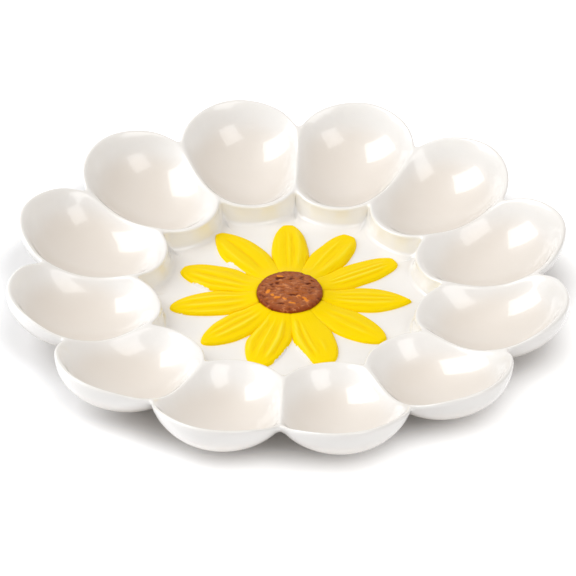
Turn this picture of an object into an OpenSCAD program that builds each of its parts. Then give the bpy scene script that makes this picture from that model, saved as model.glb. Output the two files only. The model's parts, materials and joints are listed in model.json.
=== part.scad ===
// Deviled egg platter: a ring of a dozen oval egg cups around a round recess,
// with a raised sunflower on the floor of the recess and a foot ring below.
// The origin is on the table under the middle of the platter, and +Z points up.

/* [Platter] */
// Diameter over the lips of the cups
platter_d = 290; // [270:1:310]
// Gap between the table and the lowest point of a cup
cup_lift = 1.5; // [1:0.1:3]

/* [Egg cups] */
// Length of a cup along its lip line, from the centre of the platter outwards
cup_len = 77.2; // [70:0.1:84]
// Distance that a cup's oval runs past the plane it shares with a neighbour
cup_overlap = 4.1; // [3.2:0.1:5]
// Depth of the hollow below the lip line
cup_depth = 17.4; // [14:0.1:21]
// Thickness of the ceramic under the hollow
cup_wall = 3.9; // [3:0.1:5]
// Height above the lip line at which the hollow's sides would stand upright
cup_flare = 6; // [4:0.5:9]
// Thickness of the rounded lip
lip_w = 4.5; // [3.6:0.1:5.4]
// Overhang of the lip beyond the outer wall
lip_roll = 0.5; // [0.2:0.1:0.8]
// Tilt of a cup's lip down towards the centre, in degrees
lip_tilt = 12.8; // [9:0.1:16]

/* [Ridges between cups] */
// Thickness of a ridge at its rounded crest
ridge_w = 3; // [2:0.1:4]
// Height of a ridge from its base to its crest
ridge_h = 5; // [4:0.1:6]
// Thickness of a ridge at its base
ridge_base_w = 7; // [5:0.1:8]
// Radius of the saddle curve that the crest follows
ridge_arc_r = 60; // [52:1:72]
// Distance from the middle of a cup in to the lowest point of a crest
ridge_setback = 12; // [9:0.5:15]
// Depth of that lowest point below the lip line
ridge_dip = 2.5; // [1.5:0.1:3.5]

/* [Centre dish] */
// Height of the lips around the recess above its floor
recess_h = 10.2; // [8.5:0.1:11.5]
// Thickness of the floor
floor_t = 4.5; // [3.6:0.1:5.2]

/* [Foot] */
// Distance from the wall of the recess in to the foot ring
foot_inset = 4; // [2:0.5:8]
// Thickness of the foot ring where it meets the floor
foot_w = 6; // [5:0.1:8]
// Narrowing of the foot ring on each side, down to the table
foot_taper = 1; // [0.5:0.1:1.5]

/* [Flower] */
// Diameter of the seed head
seed_d = 34.6; // [30:0.2:38]
// Height of the seed head above the floor
seed_h = 5; // [4:0.1:6]
// Rise of the seed head's dome above its edge
seed_dome = 1; // [0.5:0.1:2]
// Gap between the longest petal and the wall of the recess
petal_gap = 1.4; // [0.8:0.1:3]
// Width of a petal
petal_w = 21.5; // [19:0.1:23]
// Height of a petal's edge above the floor
petal_t = 1.6; // [1.2:0.1:2.2]
// Height of the ribs on a petal above its edge
rib_h = 0.9; // [0.5:0.1:1.2]
// Gap between the seed head and the root of a petal
petal_root_gap = 0.2; // [0.1:0.05:0.4]

/* [Hidden] */
$fn = 96;
cup_count = 12;
pitch = 360 / cup_count;

// Turn of each petal and the lean of its tip in degrees, clockwise from +Y
petal_turns = [-2, 31, 62, 95, 126, 158, 193, 224, 258, 289, 325];
petal_leans = [-2, -2, -3, -3, 2, 3, -4, -1, 0, 2, -3];
// Reach of each petal as a share of the longest one
petal_reach_shares = [0.96, 0.95, 0.99, 0.99, 0.96, 0.94, 0.95, 0.94, 0.98, 0.97, 1];
petal_count = len(petal_turns);
// Shape of a petal: the first number moves its widest place, the second blunts its tip
petal_swell = 1.5;
petal_tip = 0.7;
// Ribs on a petal, and how late they fade out on the way to its tip
rib_count = 3;
rib_fade = 5;
// How finely a petal is divided across its top, across its base and along its length
petal_top_steps = 6;
petal_base_steps = 2;
petal_length_shares = [0, 0.16, 0.32, 0.48, 0.62, 0.74, 0.84, 0.91, 0.96, 0.99];

function two_digits(i) = str(i < 10 ? "0" : "", i);

// The lip line of a cup is an oval, tilted down towards the centre
lip_r = lip_w / 2;
half_len = cup_len / 2;
cup_r = platter_d / 2 - lip_r - half_len * cos(lip_tilt);
half_w = cup_r * tan(pitch / 2) + cup_overlap;
stretch = half_len / half_w;

// Half-axes of the hollow and of the outer wall below the lip line
hollow_c = cup_depth + cup_flare;
hollow_b = (half_w - lip_r) / sqrt(1 - pow(cup_flare / hollow_c, 2));
wall_b = half_w + lip_r - lip_roll;
wall_c = cup_depth + cup_wall;

// Heights above the table: middle of the lip line, floor of the recess, underside of the floor
rim_z = cup_lift + norm([wall_b * stretch * sin(lip_tilt), wall_c * cos(lip_tilt)]);
floor_z = rim_z - half_len * sin(lip_tilt) + lip_r - recess_h;
under_z = floor_z - floor_t;

// Half-axes of a cup's oval seen from above, without the overhang of the lip
plan_a = half_len * cos(lip_tilt) + lip_r - lip_roll;
plan_b = wall_b;
// Radius of the recess inside the cups, and where the filling under the lips stops
recess_r = cup_r - half_len * cos(lip_tilt) - lip_r;
fill_r = cup_r - ridge_setback - ridge_h;

// Lowest point of a ridge, on the plane that two cups share, and the ends of its arc
ridge_r = cup_r - ridge_setback;
ridge_z = rim_z + (ridge_r * cos(pitch / 2) - cup_r) * tan(lip_tilt) - ridge_dip;
ridge_in_r = norm([cup_r + plan_a * cos(crossing(plan_a, plan_b, true)),
    plan_b * sin(crossing(plan_a, plan_b, true))]) + ridge_w;
ridge_out_r = norm([cup_r + plan_a * cos(crossing(plan_a, plan_b)),
    plan_b * sin(crossing(plan_a, plan_b))]) - ridge_w;

seed_r = seed_d / 2;
dome_r = (seed_r * seed_r + seed_dome * seed_dome) / (2 * seed_dome);
dome_steps = 12;
flower_r = recess_r - petal_gap;
root_r = seed_r + petal_root_gap;
foot_r = recess_r - foot_inset;

// Lowest points of the hollow and of the outer wall
hollow_pole = on_lip_plane(0, 0, -cup_depth);
wall_pole = on_lip_plane(0, 0, -wall_c);

// How finely a cup is divided: sections round it, and rings from its middle over the lip
free_steps = 6;
ridge_steps = 6;
recess_steps = 4;
hollow_shares = [0.3, 0.55, 0.75, 0.88, 0.96];
lip_angles = [180, 135, 90, 45, 0, -45];
wall_shares = [0.96, 0.87, 0.72, 0.52, 0.27];
ridge_drop_shares = [0, 0.25, 0.5, 0.75, 1];
under_shares = [0.9, 0.75, 0.52, 0.27];

function petal_reach(i) = flower_r * petal_reach_shares[i];
function petal_half(s) = petal_w / 2 * pow(sin(180 * pow(s, petal_swell)), petal_tip);
// Turns of the lines midway between petal i and the ones before and after it
function split_after(i) =
    i == petal_count - 1
    ? (petal_turns[i] + petal_turns[0] + 360) / 2
    : (petal_turns[i] + petal_turns[i + 1]) / 2;
function split_before(i) = i == 0 ? split_after(petal_count - 1) - 360 : split_after(i - 1);

// A place on the tilted lip plane of a cup that points along +X: u outwards, v across, w up
function on_lip_plane(u, v, w) = [
    cup_r + u * cos(lip_tilt) - w * sin(lip_tilt),
    v,
    rim_z + u * sin(lip_tilt) + w * cos(lip_tilt)
];

// Height of the lower side of a tilted ellipsoid above plan point p.
// Its half-axes are b * stretch, b and c, and its middle is rise above the lip plane.
function bowl_z(p, b, c, rise) =
    let (
        ca = cos(lip_tilt) / (b * stretch), sa = sin(lip_tilt) / (b * stretch),
        cc = cos(lip_tilt) / c, sc = sin(lip_tilt) / c,
        x = p[0] - cup_r,
        k2 = sa * sa + cc * cc,
        k1 = x * ca * sa - (x * sc + rise / c) * cc,
        k0 = x * x * ca * ca + p[1] * p[1] / (b * b) + pow(x * sc + rise / c, 2) - 1
    )
    rim_z + (-k1 - sqrt(max(0, k1 * k1 - k2 * k0))) / k2;
function hollow_z(p) = bowl_z(p, hollow_b, hollow_c, cup_flare);
function wall_z(p) = bowl_z(p, wall_b, wall_c, 0);
function under(p) = norm(p) < fill_r ? min(wall_z(p), under_z) : wall_z(p);

// Angle round an oval of half-axes a and b at which it crosses the plane between two cups
function crossing(a, b, inner = false) =
    let (
        slope = tan(pitch / 2),
        reach = asin(cup_r * slope / norm([b, a * slope]))
    )
    atan(a * slope / b) + (inner ? 180 - reach : reach);

// Plan point on the way from p to q, and a point that stays inside the cup's own slice
function between(p, q, share) = [p[0] + (q[0] - p[0]) * share, p[1] + (q[1] - p[1]) * share];
function held(p) = [p[0], sign(p[1]) * min(abs(p[1]), p[0] * tan(pitch / 2)), p[2]];

// Point of the rounded lip at angle t round the oval and angle a round the lip
function lip_point(t, a) =
    let (n = [half_w * cos(t), half_len * sin(t)] / norm([half_w * cos(t), half_len * sin(t)]))
    on_lip_plane(
        half_len * cos(t) + lip_r * cos(a) * n[0],
        half_w * sin(t) + lip_r * cos(a) * n[1],
        lip_r * sin(a)
    );

function hollow_rings(edge) = [for (f = hollow_shares)
    let (p = between(hollow_pole, edge, f)) [p[0], p[1], hollow_z(p)]];
function under_rings(edge) = [for (g = under_shares)
    let (p = between(wall_pole, edge, g)) [p[0], p[1], under(p)]];

// Section of a cup through its free lip, with the wall rolling under
function free_column(t) = [for (p = concat(
    hollow_rings(lip_point(t, 180)),
    [for (a = lip_angles) lip_point(t, a)],
    [for (g = wall_shares) on_lip_plane(
        g * wall_b * stretch * cos(t), g * wall_b * sin(t), -wall_c * sqrt(1 - g * g))]
)) held(p)];

// Section of a cup towards the recess, with an upright wall
function recess_angle(k) = 180 + (180 - crossing(plan_a, plan_b, true)) * k / recess_steps;
function recess_foot(t) = [cup_r + plan_a * cos(t), plan_b * sin(t), under_z];
function recess_column(t) =
    [for (p = concat(
        hollow_rings(lip_point(t, 180)),
        [for (a = lip_angles) lip_point(t, a)],
        [recess_foot(t)],
        under_rings(recess_foot(t))
    )) held(p)];

// Section of a cup towards a neighbour, at distance r from the middle of the platter
function ridge_column(r, side) =
    let (
        in_plane = r * [cos(pitch / 2), side * sin(pitch / 2)],
        inwards = [sin(pitch / 2), -side * cos(pitch / 2)],
        crest = ridge_z + ridge_arc_r - sqrt(pow(ridge_arc_r, 2) - pow(r - ridge_r, 2)),
        base = in_plane + inwards * ridge_base_w / 2,
        flank = in_plane + inwards * ridge_w / 2,
        bottom = under(in_plane),
        flank_z = crest - ridge_w / 3
    )
    concat(
        hollow_rings(base),
        [
            [base[0], base[1], min(hollow_z(base), crest - ridge_w)],
            [flank[0], flank[1], flank_z]
        ],
        [for (drop = ridge_drop_shares)
            [in_plane[0], in_plane[1], crest + (bottom - crest) * drop]],
        under_rings(in_plane)
    );

// All sections of a cup in turn: free lip, ridge, recess wall, ridge
function cup_columns() =
    let (free_t = crossing(wall_b * stretch + lip_roll, wall_b + lip_roll))
    concat(
        [for (k = [-free_steps:free_steps]) free_column(free_t * k / free_steps)],
        [for (k = [0:ridge_steps]) ridge_column(
            ridge_out_r + (ridge_in_r - ridge_out_r) * k / ridge_steps, 1)],
        [for (k = [-recess_steps:recess_steps]) recess_column(recess_angle(k))],
        [for (k = [ridge_steps:-1:0]) ridge_column(
            ridge_out_r + (ridge_in_r - ridge_out_r) * k / ridge_steps, -1)]
    );

// Closed skin through rings of points, with a pole at each end
module skin(columns, first_pole, last_pole) {
    count = len(columns);
    rings = len(columns[0]);
    first = count * rings;
    function at(c, k) = (c % count) * rings + k;
    polyhedron(
        concat([for (c = columns) each c], [first_pole, last_pole]),
        concat(
            [for (c = [0:count - 1]) [first, at(c + 1, 0), at(c, 0)]],
            [for (c = [0:count - 1]) for (k = [0:rings - 2])
                each [
                    [at(c, k), at(c + 1, k), at(c + 1, k + 1)],
                    [at(c, k), at(c + 1, k + 1), at(c, k + 1)]
                ]],
            [for (c = [0:count - 1]) [first + 1, at(c, rings - 1), at(c + 1, rings - 1)]]
        )
    );
}

// Cups are numbered clockwise, from the one to the left of +Y
module egg_cup(i) {
    color("linen") rotate(90 + pitch / 2 - (i - 1) * pitch)
        skin(cup_columns(), hollow_pole, wall_pole);
}

// Floor of the recess, scalloped where it meets the cups
module centre_dish() {
    color("ivory") translate([0, 0, under_z]) linear_extrude(floor_t) polygon([
        for (i = [1:cup_count]) for (k = [recess_steps:-1:1 - recess_steps])
            let (p = recess_foot(recess_angle(k)), turn = (i - 1 / 2) * pitch)
                [p[0] * cos(turn) - p[1] * sin(turn), p[0] * sin(turn) + p[1] * cos(turn)]
    ]);
}

module foot_ring() {
    color("antiquewhite") rotate_extrude() polygon([
        [foot_r, under_z],
        [foot_r - foot_taper, 0],
        [foot_r - foot_w + foot_taper, 0],
        [foot_r - foot_w, under_z]
    ]);
}

module seed_head() {
    dome_z = seed_h - dome_r;
    color("saddlebrown") translate([0, 0, floor_z]) rotate_extrude() polygon(concat(
        [[0, 0], [seed_r, 0]],
        [for (k = [dome_steps:-1:0]) let (r = seed_r * k / dome_steps)
            [r, dome_z + sqrt(dome_r * dome_r - r * r)]]
    ));
}

// Point of petal i at radius r and at share v of its width, from -1 to 1, clockwise
function petal_point(i, r, v, on_top) =
    let (
        s = r / petal_reach(i),
        axis = petal_turns[i] + petal_leans[i] * s * s,
        spread = asin(petal_half(s) / r),
        edge = v < 0
            ? axis - max(axis - spread, split_before(i))
            : min(axis + spread, split_after(i)) - axis,
        turn = axis + v * edge,
        ribs = rib_h * (1 + cos(180 * rib_count * v)) / 2 * (1 - pow(s, rib_fade))
    )
    [r * sin(turn), r * cos(turn), floor_z + (on_top ? petal_t + ribs : 0)];

function petal_line(i, v, on_top) = [for (share = petal_length_shares)
    petal_point(i, root_r + (petal_reach(i) - root_r) * share, v, on_top)];

module petal(i) {
    color("gold") skin(
        concat(
            [for (k = [petal_top_steps:-1:-petal_top_steps])
                petal_line(i, k / petal_top_steps, true)],
            [for (k = [-petal_base_steps:petal_base_steps])
                petal_line(i, k / petal_base_steps, false)]
        ),
        petal_point(i, root_r, 0, true) - [0, 0, petal_t],
        petal_point(i, petal_reach(i), 0, false)
    );
}

centre_dish();
foot_ring();
seed_head();
for (i = [1:cup_count])
    egg_cup(i);
for (i = [1:petal_count])
    petal(i - 1);
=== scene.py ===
"""Deviled egg platter: a glazed casting with a ring of egg cups and a painted sunflower relief."""
import json
import logging
import math
from dataclasses import dataclass
from enum import Enum

import bmesh
import bpy
import numpy as np
from mathutils import Matrix, Vector, noise


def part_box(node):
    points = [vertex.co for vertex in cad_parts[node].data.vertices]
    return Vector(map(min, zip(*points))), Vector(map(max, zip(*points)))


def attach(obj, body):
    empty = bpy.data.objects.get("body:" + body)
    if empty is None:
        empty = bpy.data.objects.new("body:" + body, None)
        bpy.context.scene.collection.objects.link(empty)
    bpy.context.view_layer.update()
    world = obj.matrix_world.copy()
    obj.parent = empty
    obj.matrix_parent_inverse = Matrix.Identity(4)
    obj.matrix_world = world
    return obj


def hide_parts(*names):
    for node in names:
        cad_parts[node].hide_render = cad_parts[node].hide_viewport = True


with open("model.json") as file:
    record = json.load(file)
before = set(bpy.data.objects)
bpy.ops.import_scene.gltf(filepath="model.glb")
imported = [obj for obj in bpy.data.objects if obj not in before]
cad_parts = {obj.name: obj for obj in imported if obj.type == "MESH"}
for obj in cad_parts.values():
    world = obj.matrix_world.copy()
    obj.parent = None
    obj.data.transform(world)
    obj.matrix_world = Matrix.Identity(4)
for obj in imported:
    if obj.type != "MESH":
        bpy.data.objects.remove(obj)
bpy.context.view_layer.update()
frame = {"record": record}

# One millimetre in metres, and the distance in millimetres within which points are merged
MM = 0.001
WELD = 0.001
# Index of refraction of every glaze
GLAZE_IOR = 1.5
Array = np.ndarray
Axes = Colour = Place = tuple[float, float, float]
Pair = tuple[float, float]
Ray = tuple[float, float, float, float, float]
Socket = bpy.types.NodeSocket
log = logging.getLogger("platter")


def smooth_min(a: Array, b: Array, reach: float | Array) -> Array:
    """Lower of two fields, with a fillet.

    Args:
        a: First field.
        b: Second field.
        reach: Distance over which the two run into each other.

    Returns:
        The blended field.
    """
    near = np.maximum(reach - np.abs(a - b), 0) / reach
    return np.minimum(a, b) - near * near * reach / 4


def smooth_max(a: Array, b: Array, reach: float | Array) -> Array:
    """Upper of two fields, with a fillet; the arguments are those of smooth_min."""
    return -smooth_min(-a, -b, reach)


def ease(x: Array, low: float, high: float) -> Array:
    """Smooth step from 0 at low to 1 at high."""
    share = np.clip((x - low) / (high - low), 0, 1)
    return share * share * (3 - 2 * share)


def between(x: Array, first: float, last: float, ramps: Pair) -> Array:
    """1 between two places and 0 beyond them, with a smooth ramp inside each end."""
    return ease(x, first, first + ramps[0]) * (1 - ease(x, last - ramps[1], last))


@dataclass(frozen=True)
class CastingForm:
    """The fired clay as a field that is negative inside it, in millimetres.

    One half of one cup is described, with its middle along +X and its ridge on the
    plane that it shares with a neighbour. Mirrors and turns give the rest. Points have
    their coordinates on the last axis, and every distance is below zero inside.
    """

    # Ring of cups
    platter_d: float = 293.5
    cup_count: int = 12
    cup_len: float = 76.4
    cup_overlap: float = 3.5
    cup_depth: float = 17.4
    cup_wall: float = 3.9
    cup_flare: float = 6.0
    cup_lift: float = 1.5
    # Lip
    lip_w: float = 4.5
    lip_roll: float = 0.5
    lip_tilt: float = math.radians(12.8)
    lip_rise: float = 1.4
    lip_slope: float = 0.18
    lip_end: float = 3.8
    lip_outer_round: float = 2.4
    lip_inner_round: float = 7.0
    # Shape of the hollow and the outer wall
    cup_bulge: float = 0.21
    hollow_fullness: float = 2.15
    wall_flare: float = 2.5
    wall_pinch: float = 0.12
    # Wall of the recess
    recess_slope: float = 0.25
    recess_brow: float = 1.5
    # Ridges between cups, their saddles at both ends and the notch at the rim
    ridge_round: float = 3.0
    saddle_round: float = 4.5
    saddle_r: float = 84.0
    gate_r: float = 117.0
    saddle_reach: float = 12.0
    notch_dip: float = 1.8
    notch_round: float = 9.0
    notch_r: float = 129.0
    notch_reach: float = 14.0
    notch_width: float = 9.0
    # Floor, and the clay between it and the cups
    recess_h: float = 10.2
    floor_t: float = 4.5
    floor_r: float = 82.0
    fill_r: float = 88.0
    fill_slope: float = 0.9
    # Fillets
    foot_fillet: float = 2.2
    groove_fillet: float = 4.0
    drum_fillet: float = 4.5
    wall_join: float = 1.0
    under_fillet: float = 5.0
    # Search along a ray
    ray_steps: int = 161
    halvings: int = 30

    @property
    def half_turn(self) -> float:
        """Angle from the middle of a cup to its ridge."""
        return math.pi / self.cup_count

    @property
    def lip_r(self) -> float:
        """Radius of the rounded lip."""
        return self.lip_w / 2

    @property
    def cup_r(self) -> float:
        """Distance from the axis to the middle of a cup."""
        return self.platter_d / 2 - self.lip_r - self.plan_len

    @property
    def plan_len(self) -> float:
        """Half the length of the lip line, seen from above."""
        return self.cup_len / 2 * math.cos(self.lip_tilt)

    @property
    def half_w(self) -> float:
        """Half the width of the lip line."""
        return self.cup_r * math.tan(self.half_turn) + self.cup_overlap

    @property
    def stretch(self) -> float:
        """Length of a cup over its width."""
        return self.cup_len / 2 / self.half_w

    @property
    def wall_axes(self) -> Axes:
        """Half-axes of the outer wall."""
        out = self.lip_r - self.lip_roll
        depth = self.cup_depth + self.cup_wall + self.wall_flare
        spread = 1 / math.sqrt(1 - (self.wall_flare / depth) ** 2)
        return (self.cup_len / 2 + out) * spread, (self.half_w + out) * spread, depth

    @property
    def hollow_axes(self) -> Axes:
        """Half-axes of the hollow."""
        depth = self.cup_depth + self.cup_flare
        spread = 1 / math.sqrt(1 - (self.cup_flare / depth) ** 2)
        return (self.cup_len / 2 - self.lip_end) * spread, (self.half_w - self.lip_r) * spread, depth

    @property
    def rim_z(self) -> float:
        """Height of the middle of the lip line."""
        a = (self.half_w + self.lip_r - self.lip_roll) * self.stretch
        c = self.cup_depth + self.cup_wall
        return self.cup_lift + math.hypot(a * math.sin(self.lip_tilt), c * math.cos(self.lip_tilt))

    @property
    def floor_z(self) -> float:
        """Height of the recess floor."""
        lowest = self.rim_z - self.cup_len / 2 * math.sin(self.lip_tilt)
        return lowest + self.lip_r - self.recess_h

    @property
    def under_z(self) -> float:
        """Height of the floor's underside."""
        return self.floor_z - self.floor_t

    def lip_z(self, x: Array) -> Array:
        """Height of the tilted lip plane at a distance x along the cup's middle."""
        return self.rim_z + (x - self.cup_r) * math.tan(self.lip_tilt)

    def plane_gap(self, p: Array) -> Array:
        """Distance from points to the plane shared with the neighbour."""
        return p[..., 0] * math.sin(self.half_turn) - p[..., 1] * math.cos(self.half_turn)

    def over_plane(self, p: Array) -> Array:
        """Points mirrored in the shared plane."""
        normal = np.array([math.sin(self.half_turn), -math.cos(self.half_turn), 0.0])
        return p - 2 * self.plane_gap(p)[..., None] * normal

    def on_lip(self, p: Array) -> tuple[Array, Array, Array]:
        """Looks at points from the tilted lip plane.

        Args:
            p: The points.

        Returns:
            Their places along the cup, across it and above the plane.
        """
        x, z = p[..., 0] - self.cup_r, p[..., 2] - self.rim_z
        c, s = math.cos(self.lip_tilt), math.sin(self.lip_tilt)
        return x * c + z * s, p[..., 1], z * c - x * s

    def bulge(self, share: Array) -> Array:
        """Widening of a cup at a share of its length, which makes its outer half the blunter one."""
        share = np.clip(share, -1, 1)
        return 1 + self.cup_bulge * (share - share**3)

    def egg(self, u: Array, v: Array, w: Array, axes: Axes, fullness: float = 2.0) -> Array:
        """Distance to an egg-shaped body that goes straight up above its middle.

        Args:
            u: Places along the body.
            v: Places across it.
            w: Places above its middle.
            axes: Its half-axes.
            fullness: Power that blunts its two ends; an ellipsoid has 2.

        Returns:
            Roughly the distance, below zero inside.
        """
        a, b, c = axes
        v = v / self.bulge(u / a)
        w = np.minimum(w, 0)
        near = np.sqrt(np.abs(u / a) ** fullness + (v / b) ** 2 + (w / c) ** 2)
        slope = np.sqrt((u / a**2) ** 2 + (v / b**2) ** 2 + (w / c**2) ** 2)
        return near * (near - 1) / np.maximum(slope, 1e-6)

    def wall(self, p: Array) -> Array:
        """Distance to the outer wall of the cup.

        Args:
            p: The points.

        Returns:
            The distance of each.
        """
        u, v, w = self.on_lip(p)
        w = w - self.wall_flare
        v = v * (1 + self.wall_pinch * np.clip(-w / self.wall_axes[2], 0, 1))
        return self.egg(u, v, w, self.wall_axes)

    def drum(self, p: Array) -> Array:
        """Distance to the sloping wall that the cup turns to the recess.

        Args:
            p: The points.

        Returns:
            The distance of each.
        """
        a = self.plan_len + self.lip_r - self.lip_roll
        b = self.half_w + self.lip_r - self.lip_roll
        upright = self.egg(p[..., 0] - self.cup_r, p[..., 1], np.zeros_like(p[..., 0]), (a, b, b))
        drop = np.maximum(self.floor_z + self.recess_h - self.recess_brow - p[..., 2], 0)
        return (upright - self.recess_slope * drop) / math.hypot(1, self.recess_slope)

    def hollow(self, p: Array) -> Array:
        """Distance to the cup's hollow."""
        u, v, w = self.on_lip(p)
        return self.egg(u, v, w - self.cup_flare, self.hollow_axes, self.hollow_fullness)

    def top(self, p: Array, shell: Array) -> Array:
        """Height above the lips, which fall off inwards and dip where two cups meet at the rim.

        Args:
            p: The points.
            shell: Their distance to the walls, below zero between them.

        Returns:
            The height of each point over the lips' upper face.
        """
        r = np.hypot(p[..., 0], p[..., 1])
        x = smooth_max(p[..., 0], self.over_plane(p)[..., 0], self.notch_round)
        x = np.maximum(x, self.cup_r - self.plan_len - self.lip_w)
        along = np.clip(1 - ((r - self.notch_r) / self.notch_reach) ** 2, 0, None)
        across = np.exp(-((self.plane_gap(p) / self.notch_width) ** 2))
        rise = (p[..., 2] - self.lip_z(x)) * math.cos(self.lip_tilt)
        fall = self.lip_slope * np.maximum(-shell, 0)
        return rise - self.lip_r - self.lip_rise + fall + self.notch_dip * along * across

    def inside(self, p: Array) -> Array:
        """The whole field.

        Args:
            p: The points.

        Returns:
            A value for each point, below zero in the clay.
        """
        other = self.over_plane(p)
        r = np.hypot(p[..., 0], p[..., 1])
        z = p[..., 2]
        drums = smooth_min(self.drum(p), self.drum(other), self.drum_fillet)
        walls = smooth_min(self.wall(p), self.wall(other), self.groove_fillet)
        shell = np.minimum(walls, drums)
        end = (r - self.fill_r - self.fill_slope * (z - self.floor_z)) / math.hypot(1, self.fill_slope)
        drums = smooth_max(drums, end, self.under_fillet)
        plate = np.maximum(z - self.floor_z, r - self.floor_r)
        middle = smooth_min(drums, plate, self.foot_fillet)
        middle = smooth_max(middle, self.under_z - z, self.wall_join)
        below = ease(self.floor_z - z, 0, self.floor_t)
        join = self.wall_join + (self.under_fillet - self.wall_join) * below
        clay = smooth_min(middle, walls, join)
        saddle = ease(self.saddle_r - r, 0, self.saddle_reach)
        saddle = np.maximum(saddle, ease(r - self.gate_r, 0, self.saddle_reach))
        reach = self.ridge_round + (self.saddle_round - self.ridge_round) * saddle
        hollows = smooth_min(self.hollow(p), self.hollow(other), reach)
        over = smooth_max(self.top(p, shell), -hollows, self.lip_inner_round)
        return smooth_max(clay, over, self.lip_outer_round)

    def first_hit(self, start: Array, way: Array, reach: Array) -> Array:
        """Where lines from the air first meet the clay.

        Args:
            start: Start of each line.
            way: Direction of each line, of length one.
            reach: Length of each line.

        Returns:
            The meeting point of each line.
        """
        shares = np.linspace(0, 1, self.ray_steps)
        places = start[:, None] + way[:, None] * (reach[:, None] * shares)[..., None]
        solid = self.inside(places) < 0
        first = np.maximum(np.argmax(solid, axis=1), 1)
        low, high = shares[first - 1], shares[first]
        for _ in range(self.halvings):
            half = (low + high) / 2
            hit = self.inside(start + way * (reach * half)[:, None]) < 0
            high = np.where(hit, half, high)
            low = np.where(hit, low, half)
        return start + way * (reach * high)[:, None]


def fan(r: float, z: float, ends: Pair, count: int, span: float, inwards: bool = False) -> list[Ray]:
    """Rays in a half plane, out of a point in the air or on to one in the clay.

    Args:
        r: Radius of the point.
        z: Its height.
        ends: Angles of the first and the last ray, in degrees above the horizontal.
        count: Number of rays.
        span: Length of each.
        inwards: Whether they run on to the point.

    Returns:
        Start, direction and length of each ray.
    """
    rays = []
    for k in range(count):
        angle = math.radians(ends[0] + (ends[1] - ends[0]) * k / (count - 1))
        dr, dz = math.cos(angle), math.sin(angle)
        rays.append((r + span * dr, z + span * dz, -dr, -dz, span) if inwards else (r, z, dr, dz, span))
    return rays


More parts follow.
